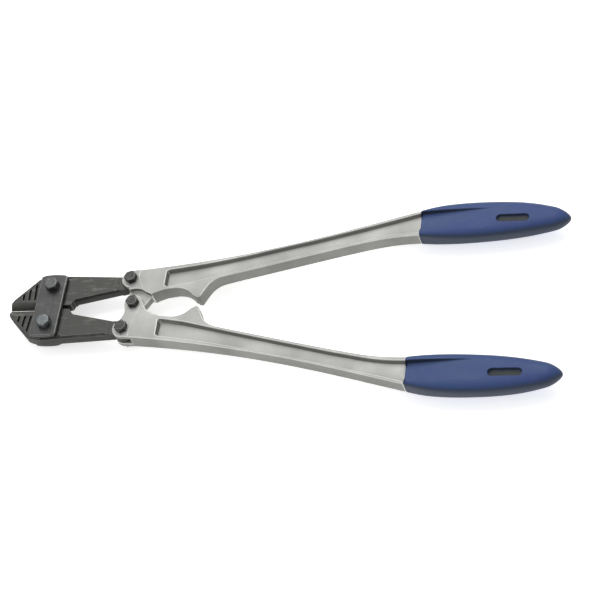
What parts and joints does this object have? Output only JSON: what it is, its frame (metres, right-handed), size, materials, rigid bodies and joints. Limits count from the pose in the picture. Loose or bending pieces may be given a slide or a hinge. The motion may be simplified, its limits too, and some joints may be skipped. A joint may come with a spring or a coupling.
{
  "type": "bolt cutters",
  "caption": "Bolt cutters: two long gripped handles work a compound lever head that closes a pair of steel jaws on a bolt or chain.",
  "frame": {"origin": "middle of the bounding box's underside, on the end faces of the two jaw nuts", "axes": "+X from the jaws to the grips, +Y across the handles towards the upper one, +Z out of the front face, with the tool lying on its back"},
  "size_m": [0.6115, 0.2336, 0.04],
  "materials": {
    "jaw_steel": "black oxide, satin",
    "plate_steel": "black oxide, satin",
    "bolt_steel": "black oxide, semi-gloss",
    "washer_steel": "plain spring steel",
    "nut_steel": "black oxide, semi-gloss",
    "bush_bronze": "plain turned bronze",
    "handle_alloy": "satin, blasted",
    "grip_vinyl": "moulded soft vinyl"
  },
  "bodies": {
    "head": {"front_plate": "plate_steel", "rear_plate": "plate_steel", "upper_jaw_bolt": "bolt_steel", "lower_jaw_bolt": "bolt_steel", "upper_jaw_washer": "washer_steel", "lower_jaw_washer": "washer_steel", "upper_jaw_nut": "nut_steel", "lower_jaw_nut": "nut_steel"},
    "upper_jaw_arm": {"upper_jaw": "jaw_steel", "upper_jaw_bush": "bush_bronze", "upper_link_bush": "bush_bronze"},
    "lower_jaw_arm": {"lower_jaw": "jaw_steel", "lower_jaw_bush": "bush_bronze", "lower_link_bush": "bush_bronze"},
    "upper_lever": {"upper_handle": "handle_alloy", "upper_grip": "grip_vinyl", "upper_link_bolt": "bolt_steel", "upper_link_washer": "washer_steel", "upper_link_nut": "nut_steel", "centre_bush": "bush_bronze"},
    "lower_lever": {"lower_handle": "handle_alloy", "lower_grip": "grip_vinyl", "lower_link_bolt": "bolt_steel", "lower_link_washer": "washer_steel", "lower_link_nut": "nut_steel", "centre_bolt": "bolt_steel", "centre_washer": "washer_steel", "centre_nut": "nut_steel"}
  },
  "joints": [
    {"name": "upper_link", "type": "hinge", "parent": "upper_jaw_arm", "child": "upper_lever", "pos_m": [-0.1672, 0.0316, 0.0204], "axis": [0, 0, 1], "range_deg": [-0.6, 43.8]},
    {"name": "lower_link", "type": "hinge", "parent": "lower_jaw_arm", "child": "lower_lever", "pos_m": [-0.1672, -0.0316, 0.0204], "axis": [0, 0, -1], "range_deg": [-0.6, 43.8]},
    {"name": "upper_jaw_pivot", "type": "hinge", "parent": "head", "child": "upper_jaw_arm", "pos_m": [-0.257, 0.0238, 0.0204], "axis": [0, 0, -1], "range_deg": [-0.09, 6.32]},
    {"name": "lower_jaw_pivot", "type": "hinge", "parent": "head", "child": "lower_jaw_arm", "pos_m": [-0.257, -0.0238, 0.0204], "axis": [0, 0, 1], "range_deg": [-0.09, 6.32]}
  ],
  "couplings": [
    {"joint": "lower_link", "follows": "upper_link", "ratio": 1},
    {"joint": "upper_jaw_pivot", "follows": "upper_link", "ratio": 0.144},
    {"joint": "lower_jaw_pivot", "follows": "upper_link", "ratio": 0.144}
  ]
}
